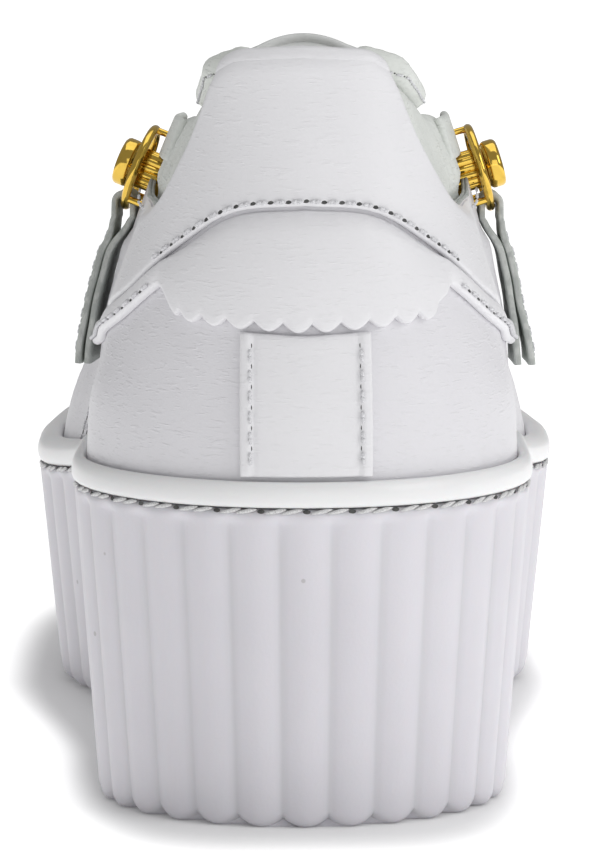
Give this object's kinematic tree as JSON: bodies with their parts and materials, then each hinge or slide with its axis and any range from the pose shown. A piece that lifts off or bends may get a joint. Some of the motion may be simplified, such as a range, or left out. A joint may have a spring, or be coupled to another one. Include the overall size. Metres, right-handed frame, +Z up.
{
  "type": "platform sneaker",
  "caption": "Left platform sneaker with a ribbed sole, hollow leather upper, padded collar, ring links at the sides and hanging straps.",
  "frame": {"origin": "on the ground at the middle of the heel tread", "axes": "+Z up, +Y towards the toe, +X towards the medial side of this left shoe"},
  "size_m": [0.0988, 0.262, 0.1299],
  "materials": {
    "sole": "satin moulded",
    "welt": "satin moulded",
    "upper_leather": "fine grain, semi-matt",
    "overlay_leather": "fine grain, semi-matt",
    "collar_leather": "pebbled, padded",
    "tongue_leather": "fine grain",
    "lining": "matt",
    "gilt_metal": "polished gilt",
    "strap_leather": "raw edge, painted"
  },
  "bodies": {
    "root": {"platform_sole": "sole", "welt_roll": "welt", "upper": "upper_leather", "heel_stay": "overlay_leather", "counter_patch": "overlay_leather", "tab_panel": "overlay_leather", "collar_band": "collar_leather", "collar_roll": "collar_leather", "collar_tab_lateral": "collar_leather", "collar_tab_medial": "collar_leather", "tongue": "tongue_leather", "insole": "lining", "ring_link_lateral": "gilt_metal", "ring_link_medial": "gilt_metal", "knob_lateral": "gilt_metal", "knob_medial": "gilt_metal", "side_strap_lateral": "strap_leather", "side_strap_medial": "strap_leather"}
  },
  "joints": []
}
